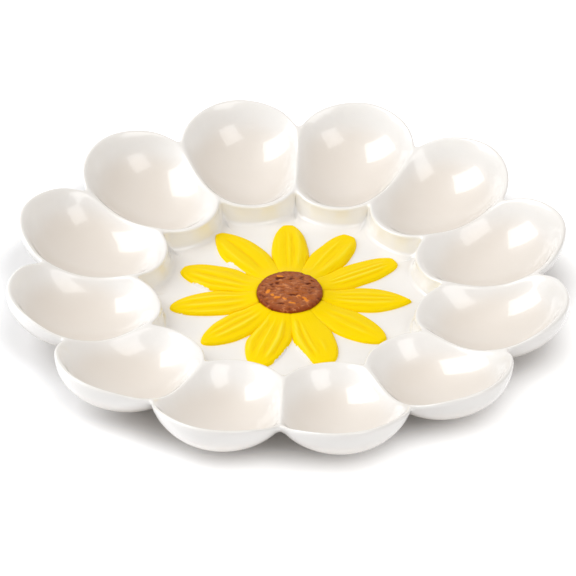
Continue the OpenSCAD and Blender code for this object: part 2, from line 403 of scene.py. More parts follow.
@dataclass
class Casting:
    """The glazed body of the platter, modelled as one half cup and repeated round the axis.

    Rays find its surface on half planes through the axis. Lengths are in millimetres,
    and the ends of a fan of rays are in degrees above the horizontal.
    """

    form: CastingForm
    columns: int = 26
    bunching: float = 1.5
    # Rows over the floor, the fillet at its edge, the lip, the hollow and the outside
    floor_rows: int = 7
    floor_bunching: float = 2.0
    fillet_rows: int = 16
    fillet_stand: float = 5.0
    fillet_rise: float = 5.5
    fillet_fan: Pair = (-90, -4)
    lip_rows: int = 16
    inner_fan: Pair = (176, 30)
    outer_fan: Pair = (150, 2)
    hollow_rows: int = 48
    hollow_rise: float = 9.0
    wall_rows: int = 18
    wall_inset: float = 24.0
    wall_drop: float = 0.5
    wall_fan: Pair = (-4, -86)
    under_rows: int = 20
    under_bunching: float = 1.2
    under_inset: float = 26.0
    # Reach of the rays and search along them
    far: float = 60.0
    near: float = 12.0
    halvings: int = 40
    # Pools of glaze, and painted shade deep in the cups and in corners
    corner_shade_reach: float = 6.0
    sunk_shade_from: float = 0.1
    sunk_shade_to: float = 0.75
    sunk_shade_fade: float = 9.0
    level_share: float = 0.33
    sunk_shade_share: float = 0.55
    corner_shade_share: float = 0.1

    def lip_crossings(self, turn: float) -> Pair:
        """Finds where a half plane through the axis crosses the lip line of the cup.

        Args:
            turn: Angle of the half plane from the middle of the cup.

        Returns:
            Radii of the inner and the outer crossing.
        """
        form = self.form
        a, b = form.plan_len, form.half_w
        c, s = math.cos(turn), math.sin(turn)

        def crossing(within: float, beyond: float) -> float:
            """Halves the stretch between a radius inside the lip line and one outside it.

            Args:
                within: The radius inside.
                beyond: The radius outside.

            Returns:
                The radius on the line.
            """
            for _ in range(self.halvings):
                r = (within + beyond) / 2
                u = (r * c - form.cup_r) / a
                v = r * s / b / float(form.bulge(np.array(u)))
                if u * u + v * v < 1:
                    within = r
                else:
                    beyond = r
            return (within + beyond) / 2

        return crossing(form.cup_r, form.cup_r - 2 * a), crossing(form.cup_r, form.cup_r + 2 * a)

    def section(self, turn: float) -> list[Vector]:
        """Points of the surface on a half plane through the axis.

        Args:
            turn: Angle of the half plane from the middle of the cup.

        Returns:
            The points from the axis over the top, round the lip and back to the axis below.
        """
        form = self.form
        inner, outer = self.lip_crossings(turn)
        tops = self.cast([(inner, self.far, 0, -1, self.far), (outer, self.far, 0, -1, self.far)], turn)
        lip_in, lip_out = tops[:, 1] - form.lip_w / 2
        foot = inner - form.lip_r - self.fillet_stand
        rays = []
        for k in range(self.floor_rows):
            share = 1 - (1 - k / self.floor_rows) ** self.floor_bunching
            rays.append((foot * share, form.floor_z + self.near, 0, -1, self.near * 2))
        over_foot = form.floor_z + self.fillet_rise
        rays += fan(foot, over_foot, self.fillet_fan, self.fillet_rows, self.near * 2)
        rays += fan(inner, lip_in, self.inner_fan, self.lip_rows, self.near, True)
        start = len(rays)
        rays += fan(outer, lip_out, self.outer_fan, self.lip_rows, self.near, True)
        r, z = outer - self.wall_inset, lip_out - self.wall_drop
        rays += fan(r, z, self.wall_fan, self.wall_rows, self.far, True)
        for k in range(self.under_rows):
            share = 1 - (k / (self.under_rows - 1)) ** self.under_bunching
            rays.append(((outer - self.under_inset) * share, -self.near, 0, 1, self.near * 3))
        hits = self.cast(rays, turn)
        eye = np.array([(inner + outer) / 2, (lip_in + lip_out) / 2 + self.hollow_rise])
        first, last = hits[start - 1] - eye, hits[start] - eye
        a0, a1 = math.atan2(first[1], first[0]), math.atan2(last[1], last[0])
        a0 = a0 if a0 < 0 else a0 - 2 * math.pi
        bowl = []
        for k in range(1, self.hollow_rows):
            angle = a0 + (a1 - a0) * k / self.hollow_rows
            bowl.append((eye[0], eye[1], math.cos(angle), math.sin(angle), self.far))
        hits = np.concatenate([hits[:start], self.cast(bowl, turn), hits[start:]])
        c, s = math.cos(turn), math.sin(turn)
        return [Vector((r * c, r * s, z)) for r, z in hits]

    def cast(self, rays: list[Ray], turn: float) -> Array:
        """Follows rays in a half plane to the clay.

        Args:
            rays: Start, direction and length of each ray, by radius and height.
            turn: Angle of the half plane from the middle of the cup.

        Returns:
            Radius and height at which each ray meets the clay.
        """
        data = np.array(rays)
        c, s = math.cos(turn), math.sin(turn)
        start = np.stack([data[:, 0] * c, data[:, 0] * s, data[:, 1]], -1)
        way = np.stack([data[:, 2] * c, data[:, 2] * s, data[:, 3]], -1)
        hits = self.form.first_hit(start, way, data[:, 4])
        return np.stack([hits[:, 0] * c + hits[:, 1] * s, hits[:, 2]], -1)

    def build(self) -> bpy.types.Object:
        """Lays a grid over half a cup, mirrors it and repeats it round the axis.

        Returns:
            The casting.
        """
        shares = [1 - (1 - k / self.columns) ** self.bunching for k in range(self.columns + 1)]
        sections = [self.section(self.form.half_turn * share) for share in shares]
        rows = len(sections[0]) - 1
        bm = bmesh.new()
        bmesh.ops.create_grid(bm, x_segments=rows, y_segments=self.columns, size=1)
        for vert in bm.verts:
            row = round((vert.co.x + 1) / 2 * rows)
            column = round((vert.co.y + 1) / 2 * self.columns)
            vert.co = sections[column][row]
        self.note_pools_and_shade(bm)
        bmesh.ops.mirror(bm, geom=bm.verts[:] + bm.edges[:] + bm.faces[:], axis="Y", merge_dist=WELD)
        turn = Matrix.Rotation(self.form.half_turn, 4, "Z")
        bmesh.ops.rotate(bm, verts=bm.verts[:], cent=(0, 0, 0), matrix=turn)
        bmesh.ops.spin(
            bm, geom=bm.verts[:] + bm.edges[:] + bm.faces[:], cent=(0, 0, 0), axis=(0, 0, 1),
            angle=2 * math.pi * (1 - 1 / self.form.cup_count), steps=self.form.cup_count - 1,
            use_duplicate=True,
        )
        bmesh.ops.remove_doubles(bm, verts=bm.verts[:], dist=WELD)
        return sized_object("glazed_casting", bm)

    def note_pools_and_shade(self, bm: bmesh.types.BMesh) -> None:
        """Writes a share from 0 on an edge to 1 in a corner: glaze that has run together, and painted
        shade deep in the cups and in corners.

        Args:
            bm: The half cup, in millimetres.
        """
        bmesh.ops.recalc_face_normals(bm, faces=bm.faces[:])
        bm.normal_update()
        places = np.array([vert.co for vert in bm.verts])
        normals = np.array([vert.normal for vert in bm.verts])
        beyond = places + normals * self.corner_shade_reach
        if np.mean(self.form.inside(beyond)) < 0:
            beyond = places - normals * self.corner_shade_reach
        # Painted shade: places hemmed in by clay, as in corners, get more of the warm dark tone
        corner = np.clip(1 - self.form.inside(beyond) / self.corner_shade_reach, 0, 1)
        _, _, above = self.form.on_lip(places)
        away = self.form.hollow(places)
        within = 1 - ease(away, self.form.cup_wall, self.form.cup_wall + self.sunk_shade_fade)
        # Painted shade: the deeper a place lies in a cup, the more of the warm dark tone
        sunk = within * ease(-above / self.form.cup_depth, self.sunk_shade_from, self.sunk_shade_to)
        level = np.abs(normals[:, 2])
        pool_and_shade = self.level_share * level + self.sunk_shade_share * sunk + self.corner_shade_share * corner
        layer = bm.verts.layers.float.new("pool_and_shade")
        for vert, share in zip(bm.verts, np.clip(pool_and_shade, 0, 1)):
            vert[layer] = float(share)


def spun(outline: list[Pair], steps: int, closed: bool = False) -> bmesh.types.BMesh:
    """Turns an outline once round the axis.

    Args:
        outline: Radius and height of each point.
        steps: Number of steps in the turn.
        closed: Whether the last point is joined to the first.

    Returns:
        The turned shape.
    """
    bm = bmesh.new()
    verts = [bm.verts.new((r, 0, z)) for r, z in outline]
    nexts = verts[1:] + verts[:1] if closed else verts[1:]
    edges = [bm.edges.new(pair) for pair in zip(verts, nexts)]
    bmesh.ops.spin(
        bm, geom=verts + edges, cent=(0, 0, 0), axis=(0, 0, 1), angle=2 * math.pi, steps=steps,
        use_merge=True,
    )
    bmesh.ops.remove_doubles(bm, verts=bm.verts[:], dist=WELD)
    return bm


def finished_object(name: str, bm: bmesh.types.BMesh) -> bpy.types.Object:
    """Turns a bmesh into a smooth-shaded object at the origin.

    Args:
        name: Name of the object.
        bm: Its shape in metres, which is used up.

    Returns:
        The object.
    """
    mesh = bpy.data.meshes.new(name)
    bm.to_mesh(mesh)
    bm.free()
    mesh.polygons.foreach_set("use_smooth", [True] * len(mesh.polygons))
    piece = bpy.data.objects.new(name, mesh)
    bpy.context.scene.collection.objects.link(piece)
    return piece


def sized_object(name: str, bm: bmesh.types.BMesh) -> bpy.types.Object:
    """Turns a closed bmesh in millimetres into an object in metres.

    Args:
        name: Name of the object.
        bm: Its shape in millimetres, which is used up.

    Returns:
        The object, with its faces outwards.
    """
    bmesh.ops.scale(bm, vec=(MM, MM, MM), verts=bm.verts[:])
    bmesh.ops.recalc_face_normals(bm, faces=bm.faces[:])
    return finished_object(name, bm)


class Side(Enum):
    """Side of a petal for someone who looks from the seed head to its tip."""

    LEFT = -1
    RIGHT = 1


class Tip(Enum):
    """How a side of a petal runs into its tip; the value is the power that blunts it."""

    BLUNT = 0.34
    ROUND = 0.45
    CORNER = 0.57
    POINTED = 0.82


@dataclass(frozen=True)
class Rib:
    """Raised line along a petal.

    Its place and width are shares of the petal's half-width, its height is in
    millimetres, and its ends are shares of the petal's reach.
    """

    place: float
    height: float
    width: float
    first: float = 0.3
    last: float = 0.95


@dataclass(frozen=True)
class BareEdge:
    """Stretch of a petal's side where the paint stops short.

    Its ends are shares of the petal's reach, and its width is in millimetres.
    """

    side: Side
    first: float
    last: float
    width: float


@dataclass(frozen=True)
class Petal:
    """One petal: its turn and its tip's lean in degrees clockwise from +Y, its size and its marks."""

    turn: float
    lean: float
    reach_share: float
    width_share: float
    left_tip: Tip
    right_tip: Tip
    ribs: tuple[Rib, ...]
    bare_edges: tuple[BareEdge, ...] = ()


PETALS = (
    Petal(-1, -2, 0.985, 0.93, Tip.ROUND, Tip.ROUND,
          (Rib(-0.62, 0.35, 0.22), Rib(-0.05, 0.25, 0.08), Rib(0.5, 0.75, 0.22))),
    Petal(29.5, 0, 0.976, 0.93, Tip.BLUNT, Tip.ROUND, (Rib(-0.25, 0.3, 0.08), Rib(0.55, 0.75, 0.2))),
    Petal(58.5, 1, 1.0, 0.86, Tip.BLUNT, Tip.ROUND,
          (Rib(-0.3, 0.25, 0.1), Rib(0.0, 0.6, 0.1), Rib(0.35, 0.6, 0.1))),
    Petal(92, -1, 0.99, 0.94, Tip.POINTED, Tip.POINTED,
          (Rib(-0.4, 0.3, 0.12), Rib(0.0, 0.3, 0.08), Rib(0.4, 0.5, 0.14))),
    Petal(123.5, 2, 0.955, 0.96, Tip.ROUND, Tip.CORNER, (Rib(-0.3, 0.3, 0.14), Rib(0.25, 0.3, 0.14))),
    Petal(157.5, 1.5, 0.915, 1.0, Tip.BLUNT, Tip.BLUNT,
          (Rib(0.75, 0.6, 0.16), Rib(0.35, 0.3, 0.08), Rib(-0.2, 0.3, 0.1, 0.6)),
          (BareEdge(Side.RIGHT, 0.6, 0.98, 0.7),)),
    Petal(194, 1, 0.94, 1.04, Tip.BLUNT, Tip.CORNER,
          (Rib(0.75, 0.6, 0.16), Rib(0.15, 0.3, 0.1), Rib(-0.4, 0.65, 0.12)),
          (BareEdge(Side.LEFT, 0.6, 0.97, 0.5),)),
    Petal(225.5, 1.5, 0.925, 0.91, Tip.CORNER, Tip.CORNER,
          (Rib(0.7, 0.4, 0.16), Rib(0.25, 0.35, 0.1), Rib(-0.25, 0.6, 0.12))),
    Petal(261, -1.5, 0.98, 0.94, Tip.CORNER, Tip.CORNER,
          (Rib(0.35, 0.5, 0.12), Rib(-0.25, 0.5, 0.12), Rib(-0.8, 0.35, 0.12)),
          (BareEdge(Side.LEFT, 0.82, 0.99, 0.4),)),
    Petal(291.5, -1.5, 0.965, 1.0, Tip.CORNER, Tip.ROUND,
          (Rib(0.2, 0.45, 0.18), Rib(-0.35, 0.55, 0.16), Rib(-0.8, 0.3, 0.12)),
          (BareEdge(Side.LEFT, 0.58, 0.9, 0.7),)),
    Petal(326.5, -4.5, 1.05, 1.04, Tip.POINTED, Tip.ROUND,
          (Rib(-0.55, 0.45, 0.16), Rib(0.0, -0.35, 0.14), Rib(0.6, 0.25, 0.14)),
          (BareEdge(Side.LEFT, 0.36, 0.7, 1.6),)),
)


@dataclass
class Sunflower:
    """The raised petals round the seed head.

    Lengths are in millimetres. Places along a petal are shares of its reach, and
    places across it run from -1 at its left edge to 1.
    """

    floor_z: float
    # Outline
    reach: float = 63.8
    root_r: float = 17.0
    petal_w: float = 21.5
    petal_swell: float = 1.5
    # Height
    petal_t: float = 1.5
    crown: float = 0.75
    crown_grows: Pair = (0.2, 0.6)
    crown_fades: Pair = (0.8, 1.0)
    crown_loss: float = 0.5
    edge_round: float = 1.7
    tip_inset: float = 0.8
    groove_depth: float = 0.25
    root_lift: float = 1.7
    root_width: float = 6.0
    sunk: float = 0.8
    # Ribs
    rib_spread: float = 1.15
    rib_ramps: Pair = (0.18, 0.16)
    crest_step: float = 0.14
    # Edge of the paint
    paint_run: float = 0.3
    paint_reach: float = 3.0
    paint_merge: float = 2.0
    bare_ramps: Pair = (0.15, 0.1)
    # Ragged sides
    wobble: float = 0.45
    wobble_scale: float = 6.0
    wobble_fade: float = 6.0
    wobble_step: float = 7.3
    wobble_side: float = 3.0
    # Mesh
    rows: int = 72
    columns: int = 40
    bunching: float = 1.25

    def split(self, index: int) -> float:
        """Turn of the line midway between a petal and the one after it."""
        here, after = PETALS[index % len(PETALS)].turn, PETALS[(index + 1) % len(PETALS)].turn
        return here + ((after - here) % 360) / 2

    def half_width(self, petal: Petal, share: float, side: float) -> float:
        """Half-width that one side of a petal has where it stands free.

        Args:
            petal: The petal.
            share: Place along it.
            side: Below 0 for its left side.

        Returns:
            The half-width.
        """
        tip = petal.left_tip if side < 0 else petal.right_tip
        swell = max(math.sin(math.pi * min(share, 1.0) ** self.petal_swell), 0.0)
        return self.petal_w / 2 * petal.width_share * swell**tip.value

    def relief(self, petal: Petal, v: Array, share: Array) -> Array:
        """Height of a petal's ribs above its crown.

        Args:
            petal: The petal.
            v: Places across it.
            share: Places along it.

        Returns:
            The height at each place.
        """
        height = np.zeros_like(v)
        for rib in petal.ribs:
            off = (v - rib.place) / (rib.width * self.rib_spread)
            height += rib.height * between(share, rib.first, rib.last, self.rib_ramps) * np.exp(-(off**2))
        return height

    def spread(self, index: int, v: Array, share: Array, r: Array) -> tuple[Array, Array, Array]:
        """Widens a petal from its axis until it stands free or meets its neighbours.

        Args:
            index: Number of the petal, from 0.
            v: Places across it.
            share: Places along it.
            r: Their distances from the platter's axis.

        Returns:
            The turn of each place in degrees, the half-width there, and how far the
            petal runs into its neighbour, from 0 to 1.
        """
        petal = PETALS[index]
        axis = petal.turn + petal.lean * share**2
        before, after = self.split(index - 1), self.split(index)
        if before > petal.turn:
            before -= 360
        if after < petal.turn:
            after += 360
        turn = np.zeros_like(v)
        room = np.zeros_like(v)
        merged = np.zeros_like(v)
        for k, (side, x, a) in enumerate(zip(v, share, axis)):
            edge = math.copysign(self.wobble_side, side)
            spot = Vector((x * self.wobble_scale, index * self.wobble_step, edge))
            ripple = self.wobble * noise.noise(spot) * min(1.0, self.wobble_fade * (1 - x))
            free = max(self.half_width(petal, x, side) + ripple, 0.0)
            angle = math.degrees(math.asin(min(free / r[k], 1)))
            kept = min(angle, (after - a) if side > 0 else (a - before))
            room[k] = r[k] * math.sin(math.radians(kept))
            merged[k] = min(max((free - room[k]) / self.edge_round, 0), 1)
            turn[k] = a + side * kept
        return turn, room, merged

    def build(self, index: int) -> bpy.types.Object:
        """Models one petal as a grid that is moved to its outline and closed below.

        Args:
            index: Number of the petal, from 0.

        Returns:
            The petal.
        """
        petal = PETALS[index]
        reach = self.reach * petal.reach_share
        bm = bmesh.new()
        bmesh.ops.create_grid(bm, x_segments=self.columns, y_segments=self.rows, size=1)
        sheet = np.array([vert.co for vert in bm.verts])
        v = np.sin(sheet[:, 0] * math.pi / 2)
        along = 1 - (1 - (sheet[:, 1] + 1) / 2) ** self.bunching
        r = self.root_r + (reach - self.root_r) * along
        share = r / reach
        turn, room, merged = self.spread(index, v, share, r)
        inset = np.minimum((1 - np.abs(v)) * room, (1 - share) * reach * self.tip_inset)
        rounding = np.sqrt(1 - (1 - np.clip(inset / self.edge_round, 0, 1)) ** 2)
        crown = self.crown * (1 - v * v) * ease(share, *self.crown_grows)
        full = self.petal_t + crown * (1 - self.crown_loss * ease(share, *self.crown_fades))
        full += self.relief(petal, v, share)
        full += self.root_lift * np.exp(-(((r - self.root_r) / self.root_width) ** 2))
        deep = full + self.sunk
        drop = deep + (np.minimum(self.groove_depth, deep) - deep) * merged
        height = full - drop * (1 - rounding)
        margin = np.minimum(inset, self.paint_reach) + self.paint_run + self.paint_merge * merged
        for edge in petal.bare_edges:
            on = between(share, edge.first, edge.last, self.bare_ramps) * (np.sign(v) == edge.side.value)
            margin = margin - (edge.width + self.paint_run) * on
        left = self.relief(petal, v - self.crest_step, share)
        right = self.relief(petal, v + self.crest_step, share)
        crest = self.relief(petal, v, share) - (left + right) / 2
        layers = bm.verts.layers.float
        rib, paint = layers.new("rib"), layers.new("paint")
        angle = np.radians(turn)
        places = zip(bm.verts, r * np.sin(angle), r * np.cos(angle), self.floor_z + height, crest, margin)
        for vert, x, y, z, thin, rest in places:
            vert.co = (x, y, z)
            vert[rib] = float(thin)
            vert[paint] = float(rest)
        self.lay_map(bm, v * room, r)
        self.close_below(bm)
        bmesh.ops.remove_doubles(bm, verts=bm.verts[:], dist=WELD)
        return sized_object(f"painted_petal_{index + 1:02d}", bm)

    def lay_map(self, bm: bmesh.types.BMesh, across: Array, along: Array) -> None:
        """Gives a petal a map in millimetres.

        Args:
            bm: The petal.
            across: Place of each point on the first axis of the map.
            along: Its place on the second.
        """
        bm.verts.index_update()
        layer = bm.loops.layers.uv.new("petal")
        for face in bm.faces:
            for loop in face.loops:
                k = loop.vert.index
                loop[layer].uv = (across[k], along[k])

    def close_below(self, bm: bmesh.types.BMesh) -> None:
        """Closes a petal with walls and a flat base that lie in the clay.

        Args:
            bm: The petal's upper face.
        """
        rim = [edge for edge in bm.edges if edge.is_boundary]
        grown = bmesh.ops.extrude_edge_only(bm, edges=rim)["geom"]
        for item in grown:
            if isinstance(item, bmesh.types.BMVert):
                item.co.z = self.floor_z - 2 * self.sunk
        edges = [item for item in grown if isinstance(item, bmesh.types.BMEdge)]
        bmesh.ops.contextual_create(bm, geom=edges)


@dataclass(frozen=True)
class Fissure:
    """Crack or raised thread on the seed head.

    Its middle, length and width are in millimetres, its turn is in degrees
    anticlockwise from +X, its height is below zero for a crack, and its glow is
    the share of orange in its paint.
    """

    x: float
    y: float
    length: float
    width: float
    turn: float
    height: float
    glow: float

    def share(self, x: float, y: float) -> float:
        """Share of its height that it has at a place.

        Args:
            x: The place along X.
            y: The place along Y.

        Returns:
            The share, from 0 to 1.
        """
        c, s = math.cos(math.radians(self.turn)), math.sin(math.radians(self.turn))
        u = ((x - self.x) * c + (y - self.y) * s) / (self.length / 2)
        w = ((y - self.y) * c - (x - self.x) * s) / self.width
        return max(1 - u * u, 0) * math.exp(-w * w)


FISSURES = (
    Fissure(-5.0, 9.4, 6.5, 0.9, 8, -0.75, 0.0),
    Fissure(-5.5, 11.0, 5.0, 0.5, -6, 0.4, 0.8),
    Fissure(0.5, 8.4, 4.5, 0.6, -4, -0.55, 0.1),
    Fissure(9.6, 5.4, 4.0, 0.6, -6, -0.6, 0.0),
    Fissure(12.0, 2.0, 3.4, 0.7, -24, -0.6, 0.0),
    Fissure(11.5, 8.0, 3.2, 0.5, -20, -0.4, 0.0),
    Fissure(-9.3, 3.4, 2.0, 0.8, 30, -0.65, 0.0),
    Fissure(-12.0, 0.4, 2.4, 0.6, 70, -0.5, 0.2),
    Fissure(-11.2, -2.6, 3.4, 0.55, 45, 0.45, 1.0),
    Fissure(-8.6, -5.4, 3.0, 0.5, -50, 0.4, 1.0),
    Fissure(-6.0, -7.4, 4.2, 0.6, 20, 0.5, 1.0),
    Fissure(-2.2, -8.6, 4.0, 0.55, -28, 0.5, 1.0),
    Fissure(1.8, -11.6, 4.2, 0.6, 0, 0.4, 0.9),
    Fissure(8.6, -8.6, 5.4, 0.65, -48, 0.5, 1.0),
    Fissure(5.0, -6.6, 3.6, 0.5, 14, 0.4, 0.5),
    Fissure(-3.4, 1.6, 9.0, 1.0, -8, 0.3, 0.0),
    Fissure(2.0, -5.2, 7.0, 0.5, 6, -0.45, 0.1),
    Fissure(-12.6, -6.4, 3.6, 0.6, -56, -0.4, 0.3),
    Fissure(-5.0, -12.0, 5.6, 0.6, -22, -0.45, 0.2),
    Fissure(7.6, 0.6, 5.4, 0.5, -10, 0.35, 0.1),
    Fissure(4.8, 11.8, 4.6, 0.5, -34, -0.35, 0.1),
)


@dataclass
class SeedHead:
    """The crumpled brown disc in the middle, in millimetres.

    The folds are a fractal with a roughness, a step between octaves, a number of
    octaves, an offset and a gain. Noise moves them sideways: each drift holds its width,
    its length and the level at which it is read.
    """

    floor_z: float
    # Disc
    fit: float = 0.2
    dome: float = 1.3
    edge_round: float = 1.7
    rise: float = 1.7
    sunk: float = 0.6
    # Mesh
    rings: int = 46
    edge_rings: int = 7
    wall_rings: int = 6
    spokes: int = 168
    # Folds
    crumple: float = 0.8
    fold_long: float = 4.2
    fold_short: float = 2.0
    fold_level: float = 1.3
    fold_middle: float = 0.6
    fractal: tuple[float, float, int, float, float] = (0.9, 2.1, 4, 1.0, 2.0)
    sway: float = 0.9
    drift_x: Place = (2.1, 1.7, 4.2)
    drift_y: Place = (1.9, 2.3, 9.7)
    # Fade of the folds towards the base, and the darker rim
    hold_from: float = 0.45
    hold_over: float = 0.5
    rim_from: float = 0.8
    rim_over: float = 0.2
    wall_band: float = 0.05
    wall_push: float = 0.35

    def outline(self, radius: float, top: float) -> list[Pair]:
        """Draws half a section of the disc, from the middle of its dome down to its base.

        Args:
            radius: The disc's radius.
            top: Height of its highest point.

        Returns:
            Radius and height of each point.
        """
        flat = radius - self.edge_round
        shoulder = top - self.dome - self.edge_round
        base = self.floor_z - self.sunk
        shares = [k / self.rings for k in range(self.rings + 1)]
        points = [(flat * share, top - self.dome * share**2) for share in shares]
        for k in range(1, self.edge_rings + 1):
            angle = math.pi / 2 * k / self.edge_rings
            out, up = self.edge_round * math.sin(angle), self.edge_round * math.cos(angle)
            points.append((flat + out, shoulder + up))
        for k in range(1, self.wall_rings + 1):
            points.append((radius, shoulder - (shoulder - base) * k / self.wall_rings))
        return points + [(0, base)]

    def build(self) -> bpy.types.Object:
        """Spins the disc's outline and crumples its surface.

        Returns:
            The seed head.
        """
        low, high = (np.array(corner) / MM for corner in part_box("seed_head"))
        radius = float(high[0] - low[0]) / 2 - self.fit
        top = float(high[2]) + self.rise
        bm = spun(self.outline(radius, top), self.spokes)
        self.crumple_surface(bm, radius, top)
        return sized_object("crumpled_seed_head", bm)

    def sideways(self, x: float, y: float, drift: Place) -> float:
        """How far the folds are moved at a place by one of their drifts."""
        return self.sway * noise.noise(Vector((x / drift[0], y / drift[1], drift[2])))

    def crumple_surface(self, bm: bmesh.types.BMesh, radius: float, top: float) -> None:
        """Moves the top by folds and fissures, and writes how each place is painted.

        Args:
            bm: The spun disc, in millimetres.
            radius: Its radius.
            top: Height of its highest point.
        """
        layers = bm.verts.layers.float
        fold, glow, rim = layers.new("fold"), layers.new("glow"), layers.new("rim")
        for vert in bm.verts:
            x, y, z = vert.co
            r = math.hypot(x, y)
            moved_x = x + self.sideways(x, y, self.drift_x)
            moved_y = y + self.sideways(x, y, self.drift_y)
            spot = Vector((moved_x / self.fold_long, moved_y / self.fold_short, self.fold_level))
            folds = noise.ridged_multi_fractal(spot, *self.fractal) / 2 - self.fold_middle
            height = self.crumple * folds
            orange = 0.0
            for fissure in FISSURES:
                share = fissure.share(moved_x, moved_y)
                height += fissure.height * share
                orange = max(orange, fissure.glow * share)
            depth = (top - z) / (top - self.floor_z)
            hold = 1 - min(max((depth - self.hold_from) / self.hold_over, 0), 1)
            vert[fold] = height
            vert[glow] = orange
            vert[rim] = min(max((r / radius - self.rim_from) / self.rim_over, 0), 1)
            if r > radius - self.wall_band:
                vert.co.x -= x / r * self.wall_push * abs(height) * hold
                vert.co.y -= y / r * self.wall_push * abs(height) * hold
            elif z > self.floor_z:
                vert.co.z = min(z + height * hold, top)


@dataclass
class Foot:
    """The turned ring that the platter stands on, in millimetres."""

    edge_round: float = 0.8
    edge_rows: int = 5
    rise: float = 2.2
    spokes: int = 192
    slack: float = 0.01

    def build(self) -> bpy.types.Object:
        """Spins the ring's outline and rounds the edges of its face.

        Returns:
            The foot.
        """
        low, high = (np.array(corner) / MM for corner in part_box("foot_ring"))
        outer = float(high[0] - low[0]) / 2
        mount = frame["record"]["mounts"][0]["pos_m"][0] / MM
        inner = 2 * mount - outer
        bottom, top = float(low[2]), float(high[2]) + self.rise
        outline = [(inner, top), (inner, bottom), (outer, bottom), (outer, top)]
        bm = spun(outline, self.spokes, closed=True)
        rims = []
        for edge in bm.edges:
            one, two = (vert.co for vert in edge.verts)
            off_face = max(abs(one.z - bottom), abs(two.z - bottom))
            if max(off_face, abs(one.xy.length - two.xy.length)) < self.slack:
                rims.append(edge)
        bmesh.ops.bevel(
            bm, geom=rims, offset=self.edge_round, offset_type="OFFSET", segments=self.edge_rows,
            profile=0.5, affect="EDGES", material=-1,
        )
        return sized_object("turned_foot", bm)


class Bench:
    """Node tree of a material or of the world, with short calls to lay it out.

    A grain is given by its scale and its detail, and nearly all of it lies between the
    two values in usual. Lengths are in metres.
    """

    usual: Pair = (0.3, 0.7)
    grain_roughness: float = 0.55

    def __init__(self, owner: bpy.types.ID, shader: str = "Principled BSDF") -> None:
        """Starts the tree with its shader.

        Args:
            owner: The material or the world.
            shader: Name of the shader that it comes with.
        """
        self.owner = owner
        self.owner.use_nodes = True
        self.nodes = owner.node_tree.nodes
        self.links = owner.node_tree.links
        self.shader = self.nodes[shader]

    def fill(self, socket: Socket, value: object) -> None:
        """Links a socket to another one, or writes a value on it.

        Args:
            socket: The socket.
            value: Another socket, a number, or the numbers of a colour or a place.
        """
        if isinstance(value, Socket):
            self.links.new(value, socket)
        elif isinstance(value, tuple) and socket.type == "RGBA":
            socket.default_value = (*value, 1.0)
        else:
            socket.default_value = value

    def add(self, kind: str, inputs: dict[str | int, object], **settings: object) -> bpy.types.Node:
        """Adds a node.

        Args:
            kind: Its type.
            inputs: Values or sockets for its inputs, by name or number.
            settings: Its properties.

        Returns:
            The node.
        """
        node = self.nodes.new(kind)
        for name, value in settings.items():
            setattr(node, name, value)
        for key, value in inputs.items():
            self.fill(node.inputs[key], value)
        return node

    def place(self, scale: Place = (1.0, 1.0, 1.0), chart: str = "Object") -> Socket:
        """Coordinates of the piece, stretched."""
        source = self.nodes.new("ShaderNodeTexCoord").outputs[chart]
        return self.add("ShaderNodeMapping", {"Vector": source, "Scale": scale}).outputs["Vector"]

    def grain(self, place: Socket, scale: float, detail: float) -> Socket:
        """Soft noise from 0 to 1."""
        inputs = {"Vector": place, "Scale": scale, "Detail": detail, "Roughness": self.grain_roughness}
        return self.add("ShaderNodeTexNoise", inputs).outputs["Fac"]

    def noted(self, name: str) -> Socket:
        """Value that the mesh carries at each place."""
        return self.add("ShaderNodeAttribute", {}, attribute_name=name).outputs["Fac"]

    def join(self, operation: str, a: object, b: object = 0.0) -> Socket:
        """Two values joined by an operation."""
        return self.add("ShaderNodeMath", {0: a, 1: b}, operation=operation).outputs[0]

    def sum(self, a: object, b: object) -> Socket:
        """Two values added."""
        return self.join("ADD", a, b)

    def times(self, a: object, b: object) -> Socket:
        """Two values multiplied."""
        return self.join("MULTIPLY", a, b)

    def span(self, value: object, low: float, high: float, ends: Pair = (0.0, 1.0)) -> Socket:
        """A stretch of a value, laid smoothly over another stretch."""
        inputs = {"Value": value, "From Min": low, "From Max": high, "To Min": ends[0], "To Max": ends[1]}
        return self.add("ShaderNodeMapRange", inputs, interpolation_type="SMOOTHSTEP").outputs["Result"]

    def swing(self, grain: Socket, ends: Pair) -> Socket:
        """A grain, laid between two values."""
        return self.span(grain, *self.usual, ends)

    def mix(self, share: object, low: object, high: object) -> Socket:
        """A colour between two others."""
        return self.add("ShaderNodeMix", {0: share, 6: low, 7: high}, data_type="RGBA").outputs[2]

    def seen(self) -> Socket:
        """Tells what the camera sees, also in a mirror or through glass, from light on a piece.

        Returns:
            1 for what it sees, and 0 for light.
        """
        rays = self.nodes.new("ShaderNodeLightPath").outputs
        seen = self.join("MAXIMUM", rays["Is Camera Ray"], rays["Is Glossy Ray"])
        return self.join("MAXIMUM", seen, rays["Is Transmission Ray"])

    def bump(self, height: object, distance: float, strength: float) -> None:
        """Bends the light on the surface by a height field."""
        inputs = {"Height": height, "Distance": distance, "Strength": strength}
        self.fill(self.shader.inputs["Normal"], self.add("ShaderNodeBump", inputs).outputs["Normal"])

    def finish(self, **sockets: object) -> bpy.types.ID:
        """Fills the shader's sockets.

        Args:
            sockets: Their values, by their names with underscores.

        Returns:
            The material or the world.
        """
        for name, value in sockets.items():
            self.fill(self.shader.inputs[name.replace("_", " ")], value)
        return self.owner


